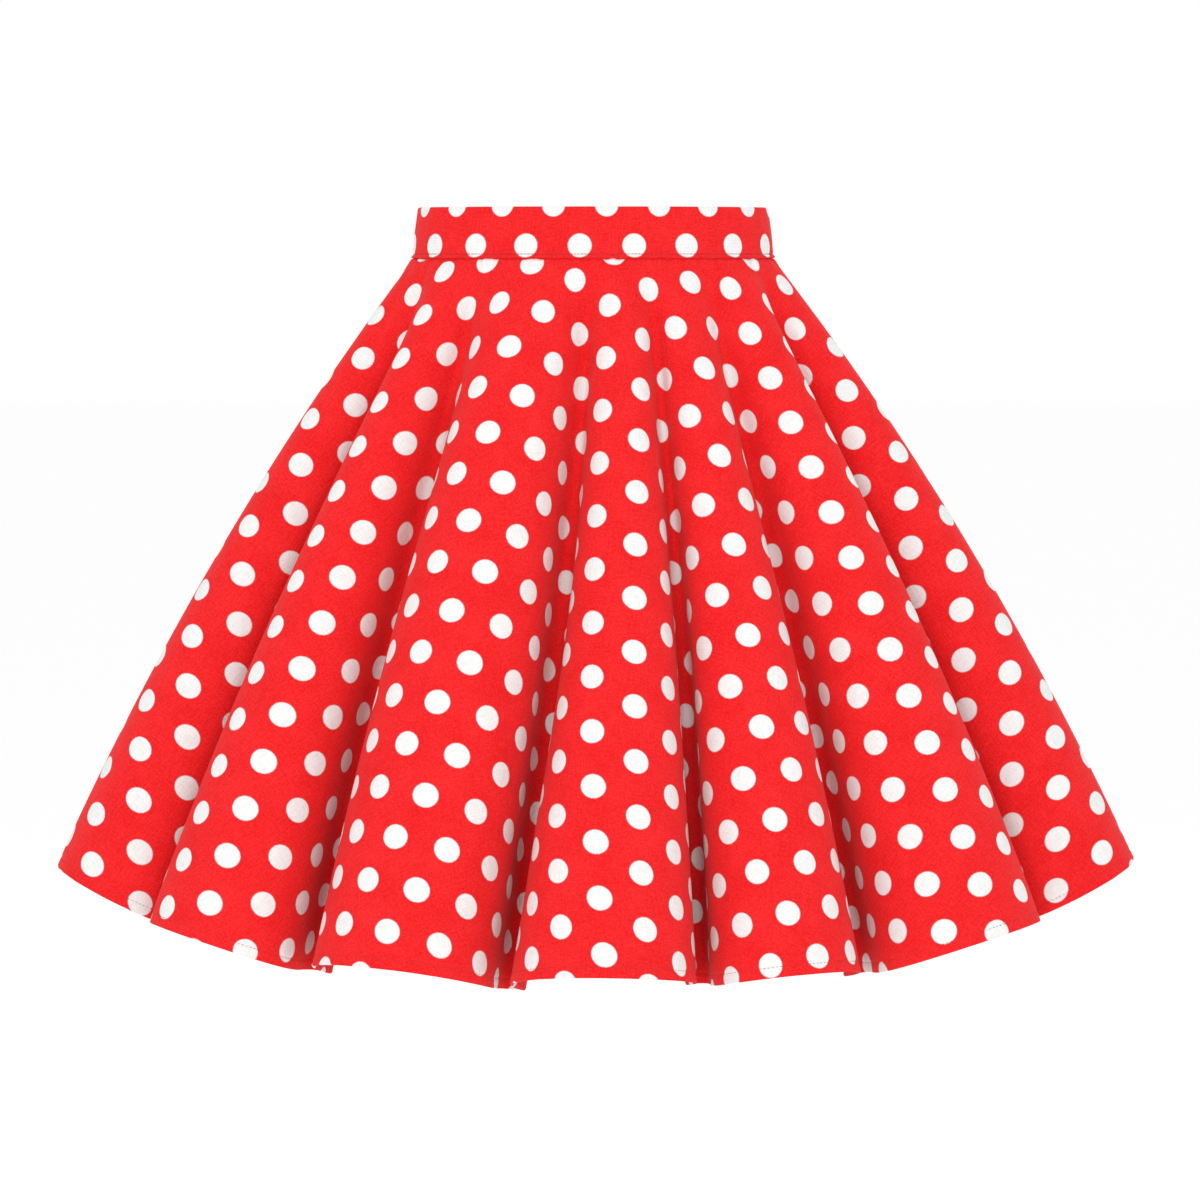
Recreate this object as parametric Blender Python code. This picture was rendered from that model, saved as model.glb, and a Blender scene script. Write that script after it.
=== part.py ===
# Circle skirt in woven cotton, filled out as if worn. A waistband holds a half-circle front
# panel and two quarter-circle back panels, each with a narrow turned hem, and a zip closes the
# centre back. Metres: +Z is up, -Y is the front and +X the wearer's left. The origin is the
# centre of the waist, level with the waist seam.

import math
from collections import namedtuple

import bpy
import numpy as np

# Waistband: a standing ellipse, a little wider at the seam than at its top edge
BAND_HEIGHT = 0.036
BAND_WALL = 0.0022
BAND_RIDGE = 0.0012           # how far the rolled lower edge stands out
WAIST_HALF_WIDTH = 0.1285
WAIST_HALF_DEPTH = 0.0860
BAND_TAPER = 0.0040           # how much narrower each half-axis is at the top edge

# Skirt: one full circle of cloth, cut with a round hole for the waist
CLOTH_LENGTH = 0.500          # waist seam to hem, measured on the cloth
CLOTH_WALL = 0.0012
HEM_DEPTH = 0.008             # turned hem, up from the edge
HEM_WALL = 0.0011
SEAM_GAP = 0.0003

# How fast the crests of the folds spread outwards, as metres out for each metre of cloth
SIDE_SPREAD_TOP = 0.610
SIDE_SPREAD_HEM = 0.425
FRONT_SPREAD_TOP = 0.370
FRONT_SPREAD_HEM = 0.215
FOLD_ONSET = 0.030            # length below the seam over which the folds open
BIAS_STRETCH = 0.020          # how much longer the cloth hangs where its threads run slantwise
FOLD_FULLNESS = 0.92          # depth of the folds against that of a free, flat wave
CREST_ROUNDNESS = 0.80        # 0 has crests like dips, near 1 has wide crests and tight dips

STEEPEST_FLANK = 1.75         # radians from the middle line, so that flanks stay apart
DRIFT_MIDDLE = 0.35           # how far down the columns stand at their own cut angles
LEAST_FALL = 0.15             # height that each rung of cloth falls, as a share of its length

# Zip at the centre back, from the top edge of the band down into the seam
ZIP_BELOW_SEAM = 0.145
ZIP_SLIT = 0.0040             # between the two edges of cloth beside the teeth
CHAIN_WIDTH = 0.0030
CHAIN_THICKNESS = 0.0014
CHAIN_SUNK = 0.0003           # how far the teeth lie below the outer face of the cloth
TAPE_REACH = 0.0115           # from the middle of the zip to the outer edge of each tape
TAPE_WALL = 0.0008
TAPE_GAP = 0.0008
TAPE_START = 0.0006           # from the middle to the tape's inner edge, below the band
BAND_LOOK = 0.14              # radians of the band beside the zip that its tape needs
SLIDER_WIDTH = 0.0062
SLIDER_HEIGHT = 0.0080
SLIDER_PLATE = 0.0010
SLIDER_TOP = 0.0352           # height of the slider's top above the waist seam
PIVOT_BELOW_TOP = 0.0024
PIVOT_STAND_OFF = 0.0018      # from the slider's front face to the pin
POST_HEIGHT = 0.0020
SLIDER_GAP = 0.0004           # between the slider's plates and the band
PIN_RADIUS = 0.0005
EYE_RADIUS = 0.0009
LUG_WIDTH = 0.0009
LUG_HALF_HEIGHT = 0.0012
LUG_PAST_PIN = 0.0010
BARREL_RADIUS = 0.0014
BARREL_LENGTH = 0.0024
PULL_WIDTH = 0.0036
PULL_LENGTH = 0.0180
PULL_THICKNESS = 0.0009
TAB_ROOT = 0.0010             # how far below the pin's middle the tab's sides begin

# Fineness of the faceted cloth
STEPS_PER_FLANK = 6
CROWDING = 1.3                # above 1, columns crowd towards the dips
EDGE_CLEAR = 0.6              # degrees between a panel's edge and its next column, at least
LEVELS = 60
SLOPE_LOOK = 0.5              # degrees to each side, to find which way the cloth faces
BAND_STEPS = 72
PANEL_ROWS = (0.0, 0.02, 0.05, 0.10, ZIP_BELOW_SEAM, 0.17, 0.28, 0.39,
              CLOTH_LENGTH - HEM_DEPTH, CLOTH_LENGTH)

# One row for each fold, from the centre front round by the wearer's left. The top and hem columns
# are angles in the flat circle, in degrees from the centre front: where the crest lies, and where
# the dip after it lies, at the waist and at the hem. The shift columns are how far the crest and
# the dip stray sideways at the hem from an even spread, in metres.
Fold = namedtuple("Fold", "crest_top crest_hem crest_shift dip_top dip_hem dip_shift")
FOLDS = (
    Fold(10.0, 1.0, 0.000, 20.0, 16.0, 0.005),
    Fold(30.0, 28.0, -0.005, 42.0, 41.0, 0.010),
    Fold(56.0, 55.0, 0.005, 68.0, 69.0, 0.010),
    Fold(82.0, 82.0, 0.005, 96.0, 96.0, 0.000),
    Fold(106.0, 106.0, 0.000, 118.0, 118.0, -0.004),
    Fold(131.0, 131.0, 0.003, 144.0, 144.0, 0.004),
    Fold(156.0, 156.0, -0.002, 167.0, 167.0, 0.003),
    Fold(180.0, 180.0, 0.000, 194.0, 194.0, -0.003),
    Fold(206.0, 206.0, 0.004, 218.0, 218.0, 0.002),
    Fold(229.5, 229.5, -0.003, 241.5, 241.5, 0.004),
    Fold(253.5, 253.5, 0.000, 265.5, 265.5, -0.002),
    Fold(280.0, 280.0, 0.000, 293.0, 292.0, -0.005),
    Fold(306.0, 306.0, -0.010, 318.0, 318.0, -0.015),
    Fold(338.0, 333.0, 0.000, 359.0, 345.0, 0.010),
)

SIDE_SEAM = 90.0              # in degrees of the flat circle from the centre front
CENTRE_BACK = 180.0


def waist_girth():
    return ellipse_arcs(WAIST_HALF_WIDTH, WAIST_HALF_DEPTH)[1][-1]


def ellipse_arcs(half_width, half_depth):
    """Bearings round an ellipse from the front, and the length along it to each."""
    bearings = np.linspace(0.0, 2.0 * math.pi, 721)
    x = half_width * np.sin(bearings)
    y = -half_depth * np.cos(bearings)
    lengths = np.concatenate([[0.0], np.cumsum(np.hypot(np.diff(x), np.diff(y)))])
    return bearings, lengths


def flank_directions(slope):
    """Angle between the cloth and its middle line, along a flank from crest to dip."""
    places = np.linspace(0.0, 1.0, 65)
    turn = math.pi * places
    shape = np.arctan2(np.sin(turn), 1.0 / CREST_ROUNDNESS + np.cos(turn))
    return places, slope * shape / math.asin(CREST_ROUNDNESS)


def running_total(values, places):
    steps = 0.5 * (values[1:] + values[:-1]) * np.diff(places)
    return np.concatenate([[0.0], np.cumsum(steps)])


def flank_table():
    """How much a flank of cloth shortens and how deep it gets, for each steepest slope."""
    slopes = np.linspace(0.0, 2.4, 97)
    spans = []
    depths = []
    for slope in slopes:
        places, angles = flank_directions(slope)
        spans.append(running_total(np.cos(angles), places)[-1])
        depths.append(running_total(np.sin(angles), places)[-1])
    return slopes, np.array(spans), np.array(depths)


FLANK_SLOPES, FLANK_SPANS, FLANK_DEPTHS = flank_table()


def slope_for_span(span):
    slope = float(np.interp(-span, -FLANK_SPANS, FLANK_SLOPES))
    return min(slope, STEEPEST_FLANK)


def crest_reach(waist, spread_top, spread_hem, down):
    return waist + spread_top * down + (spread_hem - spread_top) * down ** 2 / (2.0 * CLOTH_LENGTH)


def middle_ellipse(down):
    """Half-axes of the middle line between crests and dips, so that the crests reach out right."""
    crest_width = crest_reach(WAIST_HALF_WIDTH, SIDE_SPREAD_TOP, SIDE_SPREAD_HEM, down)
    crest_depth = crest_reach(WAIST_HALF_DEPTH, FRONT_SPREAD_TOP, FRONT_SPREAD_HEM, down)
    girth = waist_girth() + 2.0 * math.pi * down
    inset = 0.0
    for _ in range(12):
        spread = ellipse_arcs(crest_width - inset, crest_depth - inset)[1][-1]
        slope = slope_for_span(min(1.0, spread / girth))
        depth = float(np.interp(slope, FLANK_SLOPES, FLANK_DEPTHS)) * girth / (2 * len(FOLDS))
        inset = 0.5 * depth * FOLD_FULLNESS * fold_opening(down)
    return crest_width - inset, crest_depth - inset


def fold_opening(down):
    return 1.0 - math.exp(-down / FOLD_ONSET)


def turning_points(down):
    """Crests and dips in order round the circle: cut angle, sideways shift, 1 crest or 0 dip."""
    share = down / CLOTH_LENGTH
    points = []
    for fold in FOLDS:
        crest = fold.crest_top + (fold.crest_hem - fold.crest_top) * share
        dip = fold.dip_top + (fold.dip_hem - fold.dip_top) * share
        points.append((crest, fold.crest_shift, 1))
        points.append((dip, fold.dip_shift, 0))
    return points


def section(cuts, down):
    """Plan positions of the cloth at the cut angles, one distance down from the waist seam."""
    half_width, half_depth = middle_ellipse(down)
    bearings, lengths = ellipse_arcs(half_width, half_depth)
    spread = lengths[-1]
    girth = waist_girth() + 2.0 * math.pi * down
    points = turning_points(down)
    count = len(points)
    opened = down / CLOTH_LENGTH
    where = [cut / 360.0 * spread + shift * opened for cut, shift, _ in points]
    flanks = []
    for i in range(count):
        j = (i + 1) % count
        cut_share = (points[j][0] - points[i][0]) % 360.0
        cloth = cut_share / 360.0 * girth
        span = (where[j] - where[i]) % spread
        slope = slope_for_span(min(1.0, span / cloth))
        depth = cloth * FOLD_FULLNESS * float(np.interp(slope, FLANK_SLOPES, FLANK_DEPTHS))
        flanks.append((cut_share, span, slope, depth))
    offsets = []
    for i in range(count):
        lift = 0.25 * (flanks[i - 1][3] + flanks[i][3]) * fold_opening(down)
        offsets.append(lift if points[i][2] else -lift)

    from_first = (cuts - points[0][0]) % 360.0
    starts = np.array([(point[0] - points[0][0]) % 360.0 for point in points])
    flank_of = np.searchsorted(starts, from_first, side="right") - 1
    along = np.zeros(len(cuts))
    out = np.zeros(len(cuts))
    for i in range(count):
        j = (i + 1) % count
        cut_share, span, slope, _ = flanks[i]
        inside = flank_of == i
        places, angles = flank_directions(slope)
        across = running_total(np.cos(angles), places)
        sunk = running_total(np.sin(angles), places)
        sunk = sunk / sunk[-1] if sunk[-1] > 1e-9 else places
        across = across / across[-1]
        if points[i][2] == 0:
            across = 1.0 - across[::-1]
            sunk = 1.0 - sunk[::-1]
        share = (from_first[inside] - starts[i]) / cut_share
        along[inside] = where[i] + span * np.interp(share, places, across)
        step = offsets[j] - offsets[i]
        out[inside] = offsets[i] + step * np.interp(share, places, sunk)
    bearing = np.interp(along % spread, lengths, bearings)
    normal_x = half_depth * np.sin(bearing)
    normal_y = -half_width * np.cos(bearing)
    scale = np.hypot(normal_x, normal_y)
    x = half_width * np.sin(bearing) + out * normal_x / scale
    y = -half_depth * np.cos(bearing) + out * normal_y / scale
    return np.stack([x, y], axis=-1)


def cuts_at(columns, down):
    """Cut angles of columns that keep to the folds where these drift across the cloth."""
    anchors = [(seam, seam) for seam in (-CENTRE_BACK, -SIDE_SEAM, SIDE_SEAM, CENTRE_BACK)]
    for middle, here in zip(turning_points(DRIFT_MIDDLE), turning_points(down)):
        turn = 360.0 if middle[0] > CENTRE_BACK else 0.0
        if middle[0] != CENTRE_BACK:
            anchors.append((middle[0] - turn, here[0] - turn))
    anchors.sort()
    middles, heres = np.array(anchors).T
    middles = np.concatenate([middles[:-1] - 360.0, middles, middles[1:] + 360.0])
    heres = np.concatenate([heres[:-1] - 360.0, heres, heres[1:] + 360.0])
    return np.interp(columns, middles, heres)


def drape(columns, downs):
    """Outer face of the cloth: one row for each distance down, one column for each column angle."""
    ladder = np.linspace(0.0, CLOTH_LENGTH, LEVELS + 1)
    cuts = np.array([cuts_at(columns, down) for down in ladder])
    plan = np.array([section(row, down) for row, down in zip(cuts, ladder)])
    run = np.linalg.norm(np.diff(plan, axis=0), axis=-1)
    rung = CLOTH_LENGTH / LEVELS
    radius = waist_girth() / (2.0 * math.pi) + 0.5 * (ladder[1:] + ladder[:-1])
    slide = np.radians(np.diff(cuts, axis=0)) * radius[:, None]
    rung_hung = rung * (1.0 + BIAS_STRETCH * np.sin(2.0 * np.radians(cuts[1:])) ** 2)
    fall = np.sqrt(np.maximum(rung_hung ** 2 + slide ** 2 - run ** 2, (LEAST_FALL * rung) ** 2))
    height = -np.concatenate([np.zeros((1, len(columns))), np.cumsum(fall, axis=0)])
    rows = []
    for down in downs:
        place = down / rung
        low = min(int(place), LEVELS - 1)
        part = place - low
        xy = plan[low] * (1.0 - part) + plan[low + 1] * part
        z = height[low] * (1.0 - part) + height[low + 1] * part
        rows.append(np.concatenate([xy, z[:, None]], axis=-1))
    return np.array(rows)


def panel_columns(start, end):
    """Column angles of a panel, closer together towards the dips, where the cloth turns."""
    points = turning_points(DRIFT_MIDDLE)
    columns = [start, end]
    for i, (cut, _, is_crest) in enumerate(points):
        share = (points[(i + 1) % len(points)][0] - cut) % 360.0
        for step in range(STEPS_PER_FLANK):
            part = step / STEPS_PER_FLANK
            part = 1.0 - (1.0 - part) ** CROWDING if is_crest else part ** CROWDING
            for turn in (-360.0, 0.0):
                here = cut + part * share + turn
                if start + EDGE_CLEAR < here < end - EDGE_CLEAR:
                    columns.append(here)
    return np.array(sorted(columns))


def unit(vectors):
    return vectors / np.linalg.norm(vectors, axis=-1, keepdims=True)


def sheet_with_normals(columns, downs):
    """Points of the outer face and their normals, which agree across the seams."""
    points = drape(columns, downs)
    across = drape(columns + SLOPE_LOOK, downs) - drape(columns - SLOPE_LOOK, downs)
    return points, unit(np.cross(np.gradient(points, axis=0), across))


def pull_in_edges(points, first_gaps, last_gaps):
    """Moves a panel's first and last columns inwards along its rows, to leave the seams open."""
    moved = points.copy()
    for row, (first, last) in enumerate(zip(first_gaps, last_gaps)):
        moved[row, 0] += unit(points[row, 1] - points[row, 0]) * first
        moved[row, -1] += unit(points[row, -2] - points[row, -1]) * last
    return moved


def new_material(name, colour, roughness, metallic):
    material = bpy.data.materials.new(name)
    material.use_nodes = True
    shader = material.node_tree.nodes["Principled BSDF"]
    shader.inputs["Base Color"].default_value = (*colour, 1.0)
    shader.inputs["Roughness"].default_value = roughness
    shader.inputs["Metallic"].default_value = metallic
    return material


RED_COTTON = ((0.92, 0.028, 0.030), 0.85, 0.0)
RED_TAPE = ((0.70, 0.020, 0.022), 0.80, 0.0)
RED_NYLON = ((0.62, 0.015, 0.018), 0.45, 0.0)
RED_LACQUER = ((0.66, 0.016, 0.020), 0.35, 0.6)


def new_object(name, points, faces, finish):
    mesh = bpy.data.meshes.new(name)
    mesh.from_pydata([tuple(point) for point in points], [], faces)
    mesh.validate()
    mesh.update()
    thing = bpy.data.objects.new(name, mesh)
    thing.data.materials.append(new_material(name, *finish))
    bpy.context.scene.collection.objects.link(thing)
    return thing


def wall_between(name, outer, inner, finish):
    """A closed wall between two grids of points of the same size, outer face first."""
    rows, columns = outer.shape[:2]
    points = list(outer.reshape(-1, 3)) + list(inner.reshape(-1, 3))

    def outer_at(row, column):
        return row * columns + column

    def inner_at(row, column):
        return rows * columns + row * columns + column

    faces = []
    for row in range(rows - 1):
        for column in range(columns - 1):
            corners = ((row, column), (row + 1, column), (row + 1, column + 1), (row, column + 1))
            faces.append([outer_at(*corner) for corner in corners])
            faces.append([inner_at(*corner) for corner in reversed(corners)])
    for column in range(columns - 1):
        faces.append([outer_at(0, column), outer_at(0, column + 1),
                      inner_at(0, column + 1), inner_at(0, column)])
        last = rows - 1
        faces.append([outer_at(last, column + 1), outer_at(last, column),
                      inner_at(last, column), inner_at(last, column + 1)])
    for row in range(rows - 1):
        faces.append([outer_at(row + 1, 0), outer_at(row, 0), inner_at(row, 0), inner_at(row + 1, 0)])
        last = columns - 1
        faces.append([outer_at(row, last), outer_at(row + 1, last),
                      inner_at(row + 1, last), inner_at(row, last)])
    return new_object(name, points, faces, finish)


def seam_gaps(is_centre_back):
    if not is_centre_back:
        return [SEAM_GAP / 2.0] * len(PANEL_ROWS)
    return [(ZIP_SLIT if down <= ZIP_BELOW_SEAM else SEAM_GAP) / 2.0 for down in PANEL_ROWS]


def make_panel(panel_name, hem_name, start, end):
    """One panel of the skirt, and the hem that is turned up inside its lower edge."""
    sheet, normals = sheet_with_normals(panel_columns(start, end), PANEL_ROWS)
    first = seam_gaps(abs(start) == CENTRE_BACK)
    last = seam_gaps(abs(end) == CENTRE_BACK)
    outer = pull_in_edges(sheet, first, last)
    inner = outer - normals * CLOTH_WALL
    wall_between(panel_name, outer, inner, RED_COTTON)
    hem_outer = (outer - normals * (CLOTH_WALL + SEAM_GAP))[-2:]
    hem_inner = (outer - normals * (CLOTH_WALL + SEAM_GAP + HEM_WALL))[-2:]
    wall_between(hem_name, hem_outer, hem_inner, RED_COTTON)


def band_point(bearing, height, out):
    """A point by the band's outer face: its bearing from the front, height, distance outwards."""
    narrow = BAND_TAPER * height / BAND_HEIGHT
    half_width = WAIST_HALF_WIDTH - narrow
    half_depth = WAIST_HALF_DEPTH - narrow
    normal = unit(np.array([half_depth * math.sin(bearing), -half_width * math.cos(bearing)]))
    x = half_width * math.sin(bearing) + out * normal[0]
    y = -half_depth * math.cos(bearing) + out * normal[1]
    return np.array([x, y, height])


# Cross-section of the band, from the inner top edge down the outside: distance out and height
BandCorner = namedtuple("BandCorner", "out height")
BAND_CORNERS = (
    BandCorner(-BAND_WALL, BAND_HEIGHT),
    BandCorner(0.0, BAND_HEIGHT),
    BandCorner(0.0, 0.0048),
    BandCorner(BAND_RIDGE, 0.0034),
    BandCorner(BAND_RIDGE, 0.0014),
    BandCorner(0.0, SEAM_GAP),
    BandCorner(-BAND_WALL, SEAM_GAP),
)


def make_waistband():
    slit = ZIP_SLIT / 2.0 / (WAIST_HALF_WIDTH - BAND_TAPER)
    bearings = np.linspace(-math.pi + slit, math.pi - slit, BAND_STEPS + 1)
    points = []
    for bearing in bearings:
        for corner in BAND_CORNERS:
            points.append(band_point(bearing, corner.height, corner.out))
    count = len(BAND_CORNERS)
    faces = []
    for step in range(BAND_STEPS):
        for i in range(count):
            j = (i + 1) % count
            here = step * count
            there = here + count
            faces.append([here + i, here + j, there + j, there + i])
    faces.append([i for i in reversed(range(count))])
    faces.append([BAND_STEPS * count + i for i in range(count)])
    new_object("waistband", points, faces, RED_COTTON)


# Rows of the zip: heights up the band from its top edge down, then distances down the seam
BAND_ROWS = (BAND_HEIGHT - 0.0006, 0.022, 0.0012)
SEAM_ROWS = tuple(down for down in PANEL_ROWS if down <= ZIP_BELOW_SEAM)


def zip_sheet(side):
    """Outer face of the back beside the zip, from its middle outwards, with its normals."""
    if side > 0:
        columns = panel_columns(SIDE_SEAM, CENTRE_BACK)[-4:]
    else:
        columns = panel_columns(-CENTRE_BACK, -SIDE_SEAM)[:4]
    skirt, normals = sheet_with_normals(columns, SEAM_ROWS)
    if side > 0:
        skirt = skirt[:, ::-1]
        normals = normals[:, ::-1]
    band = []
    band_normals = []
    for height in BAND_ROWS:
        bearings = math.pi - side * np.linspace(0.0, BAND_LOOK, len(columns))
        faces = [band_point(bearing, height, 0.0) for bearing in bearings]
        band.append(faces)
        lifted = [band_point(bearing, height, 1.0) for bearing in bearings]
        band_normals.append(np.array(lifted) - np.array(faces))
    return np.concatenate([np.array(band), skirt]), np.concatenate([np.array(band_normals), normals])


def part_way(row_points, row_values, distance):
    """Reads values along a row of points, at a distance from its first point."""
    steps = np.linalg.norm(np.diff(row_points, axis=0), axis=-1)
    lengths = np.concatenate([[0.0], np.cumsum(steps)])
    return np.array([np.interp(distance, lengths, row_values[:, axis]) for axis in range(3)])


def make_tape(name, side):
    sheet, normals = zip_sheet(side)
    outer = np.zeros((len(sheet), 3, 3))
    inner = np.zeros((len(sheet), 3, 3))
    for row in range(len(sheet)):
        in_band = row < len(BAND_ROWS)
        start = SLIDER_WIDTH / 2.0 + TAPE_GAP if in_band else TAPE_START
        cover = BAND_WALL if row <= len(BAND_ROWS) else CLOTH_WALL
        for column, distance in enumerate(np.linspace(start, TAPE_REACH, 3)):
            place = part_way(sheet[row], sheet[row], distance)
            normal = unit(part_way(sheet[row], normals[row], distance))
            outer[row, column] = place - normal * (cover + TAPE_GAP)
            inner[row, column] = place - normal * (cover + TAPE_GAP + TAPE_WALL)
    if side > 0:
        outer = outer[:, ::-1]
        inner = inner[:, ::-1]
    wall_between(name, outer, inner, RED_TAPE)


def make_chain():
    """The closed teeth, as one bar down the slit from inside the slider to the zip's foot."""
    sheet, normals = zip_sheet(1.0)
    top = band_point(math.pi, SLIDER_TOP - SLIDER_HEIGHT / 2.0, 0.0)
    middle = np.concatenate([[top], sheet[1:, 0]])
    outward = normals[:, 0].copy()
    outward[:, 0] = 0.0
    outward = unit(outward)
    half = np.array([CHAIN_WIDTH / 2.0, 0.0, 0.0])
    face = middle - outward * CHAIN_SUNK
    back = face - outward * CHAIN_THICKNESS
    outer = np.stack([face + half, face - half], axis=1)
    inner = np.stack([back + half, back - half], axis=1)
    wall_between("zip_chain", outer, inner, RED_NYLON)


def box_object(name, low, high, finish):
    """A box between two corners, in the slider's own frame: across, outwards, up."""
    x0, y0, z0 = low
    x1, y1, z1 = high
    points = [(x0, y0, z0), (x1, y0, z0), (x1, y1, z0), (x0, y1, z0),
              (x0, y0, z1), (x1, y0, z1), (x1, y1, z1), (x0, y1, z1)]
    faces = [(0, 3, 2, 1), (4, 5, 6, 7), (0, 1, 5, 4), (1, 2, 6, 5), (2, 3, 7, 6), (3, 0, 4, 7)]
    return new_object(name, points, faces, finish)


def rod_object(name, centre, radius, length, finish, sides=16):
    """A rod across the zip, along X."""
    points = []
    for end in (-0.5, 0.5):
        for side in range(sides):
            angle = 2.0 * math.pi * side / sides
            points.append((centre[0] + end * length, centre[1] + radius * math.cos(angle),
                           centre[2] + radius * math.sin(angle)))
    faces = [list(reversed(range(sides))), [sides + i for i in range(sides)]]
    for i in range(sides):
        j = (i + 1) % sides
        faces.append([i, j, sides + j, sides + i])
    return new_object(name, points, faces, finish)


def combine(body, tool, operation):
    modifier = body.modifiers.new(tool.name, "BOOLEAN")
    modifier.operation = operation
    modifier.object = tool
    tool.hide_render = True
    tool.display_type = "WIRE"


def band_slope():
    return math.atan2(BAND_TAPER, BAND_HEIGHT)


def slider_frame():
    """Where the slider's own frame sits: on the band's outer face, level with the pin."""
    return band_point(math.pi, SLIDER_TOP - PIVOT_BELOW_TOP, 0.0)


def pivot_out():
    return SLIDER_GAP + SLIDER_PLATE + PIVOT_STAND_OFF


def stand_in_band(thing, out):
    """Tilts a piece with the band and sets it a distance out from the slider's place."""
    slope = band_slope()
    place = slider_frame() + out * np.array([0.0, math.cos(slope), math.sin(slope)])
    thing.location = place
    thing.rotation_euler = (slope, 0.0, 0.0)


def make_slider():
    """Two plates that hold the cloth edges between them, a post, and lugs with a pin."""
    half = SLIDER_WIDTH / 2.0
    top = PIVOT_BELOW_TOP
    foot = top - SLIDER_HEIGHT
    back = -BAND_WALL - SLIDER_GAP
    front = SLIDER_GAP
    post = ZIP_SLIT / 2.0 - SLIDER_GAP
    body = box_object("zip_slider", (-half, front, foot), (half, front + SLIDER_PLATE, top),
                      RED_LACQUER)
    tools = [
        box_object("slider_back", (-half, back - SLIDER_PLATE, foot), (half, back, top), RED_LACQUER),
        box_object("slider_post", (-post, back - SLIDER_PLATE / 2.0, top - POST_HEIGHT),
                   (post, front + SLIDER_PLATE / 2.0, top - POST_HEIGHT / 4.0), RED_LACQUER),
    ]
    inside = BARREL_LENGTH / 2.0 + SEAM_GAP
    for name, side in (("slider_lug_left", 1.0), ("slider_lug_right", -1.0)):
        near, far = sorted((side * inside, side * (inside + LUG_WIDTH)))
        low = (near, front + SLIDER_PLATE / 2.0, -LUG_HALF_HEIGHT)
        high = (far, pivot_out() + LUG_PAST_PIN, LUG_HALF_HEIGHT)
        tools.append(box_object(name, low, high, RED_LACQUER))
    length = 2.0 * inside + LUG_WIDTH
    tools.append(rod_object("slider_pin", (0.0, pivot_out(), 0.0), PIN_RADIUS, length, RED_LACQUER))
    stand_in_band(body, 0.0)
    for tool in tools:
        stand_in_band(tool, 0.0)
        combine(body, tool, "UNION")


def make_pull():
    """A barrel that swings on the slider's pin, with a rounded tab below it."""
    origin = (0.0, 0.0, 0.0)
    body = rod_object("zip_pull", origin, BARREL_RADIUS, BARREL_LENGTH, RED_LACQUER)
    half = PULL_THICKNESS / 2.0
    outline = [(-BARREL_LENGTH / 2.0 + SEAM_GAP, -TAB_ROOT),
               (BARREL_LENGTH / 2.0 - SEAM_GAP, -TAB_ROOT)]
    radius = PULL_WIDTH / 2.0
    centre = -PULL_LENGTH + radius
    for step in range(13):
        angle = math.pi * step / 12
        outline.append((radius * math.cos(angle), centre - radius * math.sin(angle)))
    count = len(outline)
    points = [(x, half, z) for x, z in outline] + [(x, -half, z) for x, z in outline]
    faces = [list(range(count)), [count + i for i in reversed(range(count))]]
    for i in range(count):
        j = (i + 1) % count
        faces.append([j, i, count + i, count + j])
    tab = new_object("pull_tab", points, faces, RED_LACQUER)
    bore = rod_object("pull_bore", origin, EYE_RADIUS, BARREL_LENGTH * 2.0, RED_LACQUER)
    for piece in (body, tab, bore):
        stand_in_band(piece, pivot_out())
    combine(body, tab, "UNION")
    combine(body, bore, "DIFFERENCE")


def clear_scene():
    for thing in list(bpy.data.objects):
        bpy.data.objects.remove(thing, do_unlink=True)


def main():
    clear_scene()
    make_waistband()
    make_panel("front_panel", "front_hem", -SIDE_SEAM, SIDE_SEAM)
    make_panel("back_panel_left", "back_hem_left", SIDE_SEAM, CENTRE_BACK)
    make_panel("back_panel_right", "back_hem_right", -CENTRE_BACK, -SIDE_SEAM)
    make_tape("zip_tape_left", 1.0)
    make_tape("zip_tape_right", -1.0)
    make_chain()
    make_slider()
    make_pull()
    bpy.context.view_layer.update()


main()
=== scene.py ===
import math
from collections import namedtuple
from functools import lru_cache

import bpy
import numpy as np
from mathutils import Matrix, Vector


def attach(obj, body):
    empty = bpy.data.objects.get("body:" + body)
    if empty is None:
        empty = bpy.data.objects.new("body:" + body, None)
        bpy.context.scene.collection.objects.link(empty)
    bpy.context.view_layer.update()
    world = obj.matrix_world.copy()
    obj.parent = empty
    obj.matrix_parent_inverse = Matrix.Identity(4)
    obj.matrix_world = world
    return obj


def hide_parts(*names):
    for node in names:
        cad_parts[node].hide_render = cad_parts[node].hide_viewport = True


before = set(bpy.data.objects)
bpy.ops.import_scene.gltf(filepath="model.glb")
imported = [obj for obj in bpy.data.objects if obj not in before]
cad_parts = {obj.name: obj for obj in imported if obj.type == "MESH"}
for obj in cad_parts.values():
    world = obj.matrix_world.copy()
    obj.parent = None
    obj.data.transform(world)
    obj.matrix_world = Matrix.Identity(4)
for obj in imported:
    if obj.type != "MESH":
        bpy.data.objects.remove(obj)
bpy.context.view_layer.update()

# Circle skirt in spotted cotton. Metres, +Z up, -Y the front, the origin at the centre of the waist.
skirtBody = "skirt"


def unit(vectors):
    return vectors / np.linalg.norm(vectors, axis=-1, keepdims=True)


# Camera, floor and lights
camera = {"distance": 3.214, "aside": 0.005, "aimBelowWaist": 0.244, "lens": 135.0}

studio = {
    "floorHeight": -1.05, "floorSize": 60.0, "floorColour": (0.985, 0.985, 0.985, 1.0),
    "skyColour": (1.0, 1.0, 1.0, 1.0), "skyStrength": 1.0,
}
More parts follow.
